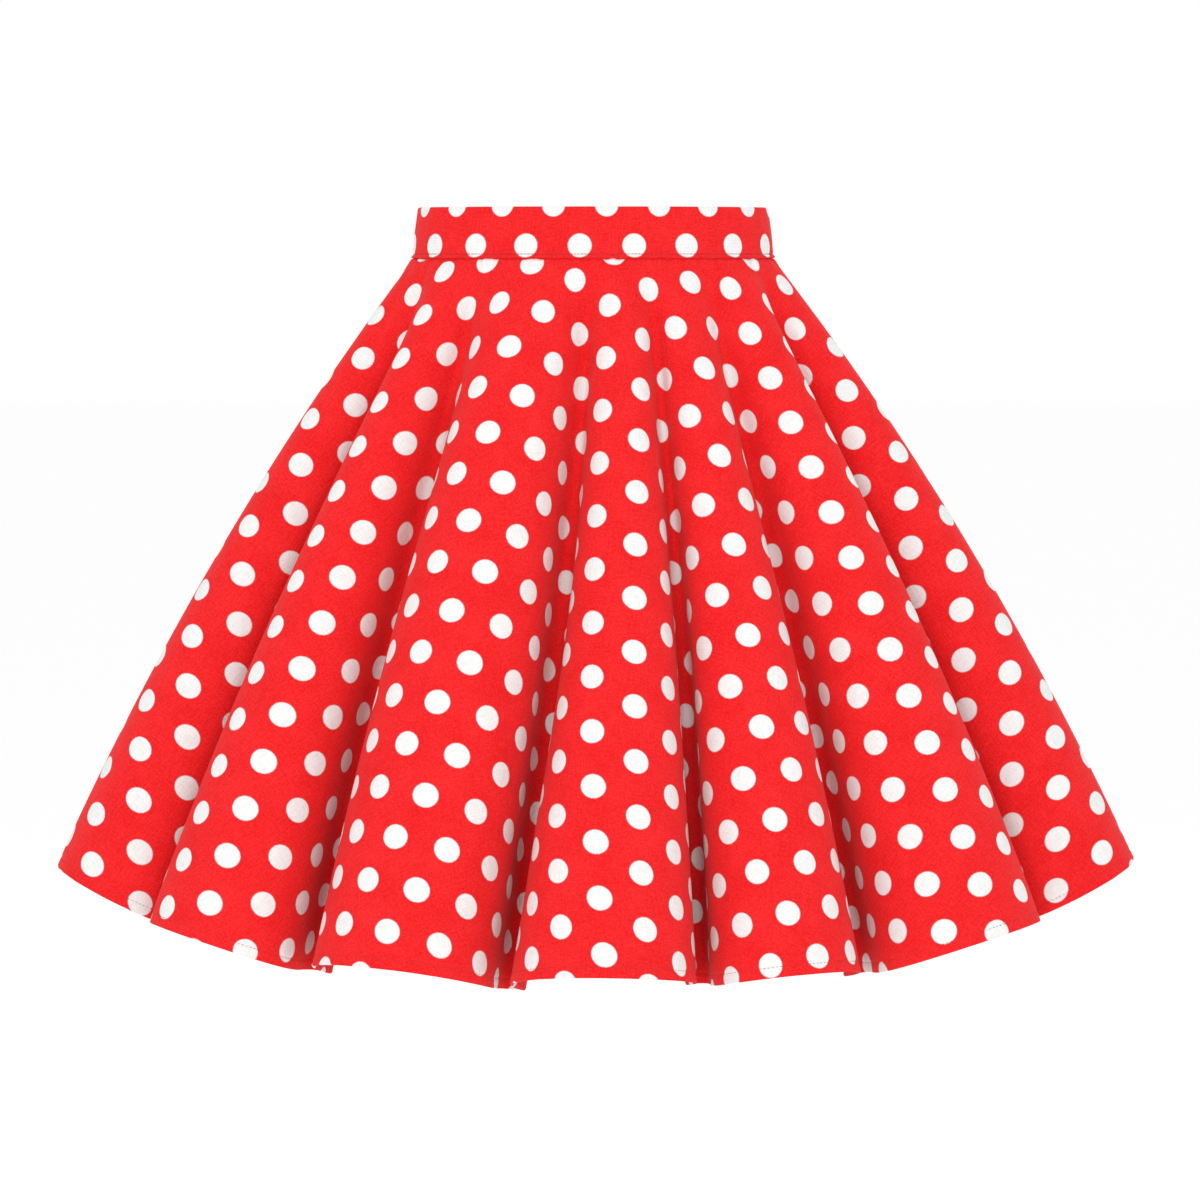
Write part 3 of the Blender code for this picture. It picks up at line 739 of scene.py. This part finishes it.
# Sewing thread: one stitch is modelled, then copied along each seam
thread = {
    "colour": (0.20, 0.012, 0.014, 1.0), "paleColour": (0.30, 0.030, 0.032, 1.0),
    "length": 0.0023, "pitch": 0.0029, "radius": 0.00019, "sides": 6, "sunk": 0.00005,
    "hemUp": 0.0070, "bandUp": 0.0031, "zipAside": 0.0065, "zipFoot": 0.147, "closePitch": 0.0025,
    "bandEnd": 0.06, "bandSteps": 400, "zipTop": 0.002, "zipBandFoot": 0.0040, "zipBandTop": 0.0345,
}


def makeThreadFinish():
    finish = Finish("sewingThread", roughness=0.6)
    place = finish.add("ShaderNodeTexCoord", {}, {}, 3)
    plies = finish.noise(place, 3000.0, 1.0)
    finish.set("Base Color", finish.blend(plies, thread["colour"], thread["paleColour"]))
    finish.set("Normal", finish.bump(plies, 0.0001, 0.6))
    return finish.material


def modelStitch():
    bpy.ops.object.select_all(action="DESELECT")
    bpy.ops.mesh.primitive_cylinder_add(vertices=thread["sides"], radius=thread["radius"],
                                        depth=0.6 * thread["length"], rotation=(0.0, 0.5 * math.pi, 0.0))
    stitch = bpy.context.object
    bpy.ops.object.transform_apply(location=False, rotation=True, scale=False)
    bpy.ops.object.mode_set(mode="EDIT")
    for side in (1.0, -1.0):
        bpy.ops.mesh.select_all(action="DESELECT")
        bpy.ops.object.mode_set(mode="OBJECT")
        for face in stitch.data.polygons:
            face.select = face.normal.x * side > 0.9
        bpy.ops.object.mode_set(mode="EDIT")
        bpy.ops.mesh.select_mode(type="FACE")
        step = (side * 0.2 * thread["length"], 0.0, -1.1 * thread["radius"])
        bpy.ops.mesh.extrude_region_move(TRANSFORM_OT_translate={"value": step})
        bpy.ops.transform.resize(value=(1.0, 0.7, 0.7))
    bpy.ops.object.mode_set(mode="OBJECT")
    points = np.array([tuple(vertex.co) for vertex in stitch.data.vertices])
    faces = [list(face.vertices) for face in stitch.data.polygons]
    bpy.data.objects.remove(stitch, do_unlink=True)
    return points, faces


def placesAlong(points, normals, pitch):
    steps = np.linalg.norm(np.diff(points, axis=0), axis=-1)
    lengths = np.concatenate([[0.0], np.cumsum(steps)])
    count = int(lengths[-1] / pitch)
    marks = (np.arange(count) + 0.5) * lengths[-1] / count

    def read(values, at):
        return np.stack([np.interp(at, lengths, values[:, axis]) for axis in range(3)], axis=-1)

    ahead = unit(read(points, marks + 0.3 * pitch) - read(points, marks - 0.3 * pitch))
    outward = read(normals, marks)
    outward = unit(outward - ahead * np.sum(outward * ahead, axis=-1, keepdims=True))
    return read(points, marks), ahead, outward


def copyAlong(name, template, lines, pitch, lift, material):
    shape, shapeFaces = template
    points = []
    faces = []
    for line, normals in lines:
        for place, ahead, outward in zip(*placesAlong(line, normals, pitch)):
            aside = np.cross(outward, ahead)
            axes = np.stack([ahead, aside, outward])
            first = len(points) * len(shape)
            points.append(place + outward * lift + shape @ axes)
            faces.extend([first + i for i in face] for face in shapeFaces)
    thing = newMeshObject(name, np.concatenate(points), faces, (material,))
    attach(thing, skirtBody)
    print(name, "has", len(faces), "faces")
    return thing


def lineAcross(start, end, down):
    rows = np.array([down - 0.001, down, down + 0.001])
    points, normals, _ = panelFace(start, end, panelColumns(start, end), rows)
    inset = slice(1, -1)
    return points[1, inset], normals[1, inset]


def lineDown(side, aside, top, foot):
    start, end = (90.0, 180.0) if side > 0.0 else (-180.0, -90.0)
    rows = np.linspace(top, foot, 60)
    columns = np.linspace(170.0, 180.0, 12) * side
    columns.sort()
    points, normals, cuts = panelFace(start, end, columns, rows)
    wanted = side * (180.0 - np.degrees(aside / (waistRadius + rows)))
    line = []
    facing = []
    for row in range(len(rows)):
        line.append([np.interp(wanted[row], cuts[row], points[row, :, axis]) for axis in range(3)])
        facing.append([np.interp(wanted[row], cuts[row], normals[row, :, axis]) for axis in range(3)])
    return np.array(line), np.array(facing)


def bandLine(bearings, heights, out):
    points = np.array([bandPoint(b, h, out) for b, h in zip(bearings, heights)])
    lifted = np.array([bandPoint(b, h, out + 1.0) for b, h in zip(bearings, heights)])
    return points, lifted - points


sewingThread = makeThreadFinish()
stitchShape = modelStitch()
hemDown = hang["length"] - thread["hemUp"]
hemLines = [lineAcross(panel.start, panel.end, hemDown) for panel in panels]
copyAlong("hemStitches", stitchShape, hemLines, thread["pitch"], -thread["sunk"], sewingThread)
bandBearings = np.linspace(-math.pi + thread["bandEnd"], math.pi - thread["bandEnd"], thread["bandSteps"])
bandHeights = np.full(thread["bandSteps"], thread["bandUp"])
copyAlong("bandStitches", stitchShape, [bandLine(bandBearings, bandHeights, 0.0)],
          thread["closePitch"], -thread["sunk"], sewingThread)
zipLines = []
for side in (1.0, -1.0):
    zipLines.append(lineDown(side, thread["zipAside"], thread["zipTop"], thread["zipFoot"]))
    bearing = math.pi - side * thread["zipAside"] / hang["waistHalfWidth"]
    heights = np.linspace(thread["zipBandFoot"], thread["zipBandTop"], 20)
    zipLines.append(bandLine(np.full(20, bearing), heights, 0.0004))
copyAlong("zipStitches", stitchShape, zipLines, thread["closePitch"], -thread["sunk"],
          sewingThread)


# Zip: fine moulded teeth down the slit, and finishes for the tapes, the slider and its pull
teeth = {
    "colour": (0.52, 0.010, 0.014, 1.0), "worn": (0.66, 0.050, 0.050, 1.0),
    "pitch": 0.00150, "tall": 0.00066, "long": 0.00185, "thick": 0.00115, "headOut": 0.0002, "bevel": 0.00012,
    "outside": 0.00150, "sunk": 0.00095, "topInBand": 0.0306, "foot": 0.1445,
}


def modelTooth():
    bpy.ops.object.select_all(action="DESELECT")
    bpy.ops.mesh.primitive_cube_add(size=1.0)
    tooth = bpy.context.object
    tooth.scale = (teeth["tall"], teeth["long"], teeth["thick"])
    bpy.ops.object.transform_apply(location=False, rotation=False, scale=True)
    for face in tooth.data.polygons:
        face.select = face.normal.y > 0.9
    bpy.ops.object.mode_set(mode="EDIT")
    bpy.ops.mesh.select_mode(type="FACE")
    bpy.ops.mesh.extrude_region_move(TRANSFORM_OT_translate={"value": (0.0, teeth["headOut"], 0.0)})
    bpy.ops.transform.resize(value=(0.55, 1.0, 0.7))
    bpy.ops.mesh.select_all(action="SELECT")
    bpy.ops.mesh.bevel(offset=teeth["bevel"], segments=1, affect="EDGES")
    bpy.ops.object.mode_set(mode="OBJECT")
    points = np.array([tuple(vertex.co) for vertex in tooth.data.vertices])
    faces = [list(face.vertices) for face in tooth.data.polygons]
    bpy.data.objects.remove(tooth, do_unlink=True)
    points[:, 1] -= teeth["outside"] - 0.5 * teeth["long"]
    return points, faces


def toothLine(side):
    bandHeights = np.linspace(teeth["topInBand"], 0.0004, 14)
    line, facing = bandLine(np.full(14, math.pi), bandHeights, 0.0)
    rows = np.linspace(0.002, teeth["foot"], 60)
    columns = np.array([178.0, 179.0, 180.0])
    points, normals, _ = panelFace(90.0, 180.0, columns, rows)
    line = np.concatenate([line, points[:, -1]])
    facing = np.concatenate([facing, normals[:, -1]])
    line[:, 0] = 0.0
    facing[:, 0] = 0.0
    facing = unit(facing)
    shift = 0.25 * teeth["pitch"] * side
    line = line - facing * teeth["sunk"]
    line[:, 2] += shift
    return line, facing


def makeTeeth(name, side, finish):
    shape, faces = modelTooth()
    if side < 0.0:
        shape = shape * (-1.0, -1.0, 1.0)
    return copyAlong(name, (shape, faces), [toothLine(side)], teeth["pitch"], 0.0, finish)


def makeNylon():
    finish = Finish("redNylon", roughness=0.38)
    place = finish.add("ShaderNodeTexCoord", {}, {}, 3)
    wear = finish.noise(place, 700.0, 3.0)
    finish.set("Base Color", finish.blend(finish.ramp(wear, 0.45, 0.8), teeth["colour"], teeth["worn"]))
    finish.set("Roughness", finish.ramp(wear, 0.2, 0.9, 0.30, 0.50))
    return finish.material


redNylon = makeNylon()
zipTeethLeft = makeTeeth("zipTeethLeft", 1.0, redNylon)
zipTeethRight = makeTeeth("zipTeethRight", -1.0, redNylon)
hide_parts("zip_chain")
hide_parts("zip_chain")

# The tape's "dark" colour is painted shade, laid into the low grooves between the woven ribs
tape = {"colour": (0.56, 0.012, 0.016, 1.0), "dark": (0.38, 0.006, 0.009, 1.0),
        "rib": 0.0007, "pick": 0.00035}
lacquer = {"colour": (0.50, 0.006, 0.009, 1.0), "dark": (0.34, 0.004, 0.006, 1.0),
           "bare": (0.62, 0.60, 0.58, 1.0), "coat": 0.25}


def makeTapeFinish():
    finish = Finish("zipTape", roughness=0.85)
    place = finish.add("ShaderNodeTexCoord", {}, {}, 3)
    parts = finish.tree.nodes.new("ShaderNodeSeparateXYZ")
    finish.tree.links.new(place.socket, parts.inputs[0])
    x, z = Wire(finish, parts.outputs[0]), Wire(finish, parts.outputs[2])
    zigzag = finish.math("PINGPONG", x, 0.002) + z
    ribs = finish.math("SINE", zigzag * (2.0 * math.pi / tape["rib"]))
    picks = finish.math("SINE", x * (2.0 * math.pi / tape["pick"]))
    height = ribs * 0.7 + picks * 0.3
    # Painted shade: the tape turns from "colour" to "dark" where the rib and pick height is low, in the
    # grooves
    finish.set("Base Color", finish.blend(finish.ramp(height, -1.0, 1.0), tape["dark"], tape["colour"]))
    finish.set("Normal", finish.bump(height, 0.00008, 0.7))
    finish.set("Sheen Weight", 0.2)
    return finish.material


def makeLacquer():
    finish = Finish("redLacquer", roughness=0.32)
    place = finish.add("ShaderNodeTexCoord", {}, {}, 3)
    flow = finish.noise(place, 400.0, 3.0)
    scuffs = finish.ramp(finish.noise(place, 1800.0, 4.0), 0.68, 0.74)
    red = finish.blend(flow, lacquer["colour"], lacquer["dark"])
    finish.set("Base Color", finish.blend(scuffs * 0.6, red, lacquer["bare"]))
    finish.set("Metallic", scuffs * 0.6)
    finish.set("Roughness", finish.ramp(flow, 0.2, 0.8, 0.26, 0.42))
    finish.set("Coat Weight", lacquer["coat"])
    finish.set("Normal", finish.bump(flow, 0.00005, 0.3))
    return finish.material


def refinish(node, material):
    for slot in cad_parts[node].material_slots:
        slot.material = material


zipTapeFinish = makeTapeFinish()
redLacquer = makeLacquer()
for node in ("zip_tape_left", "zip_tape_right"):
    refinish(node, zipTapeFinish)
for node in ("zip_slider", "zip_pull"):
    refinish(node, redLacquer)
print("zip is ready")
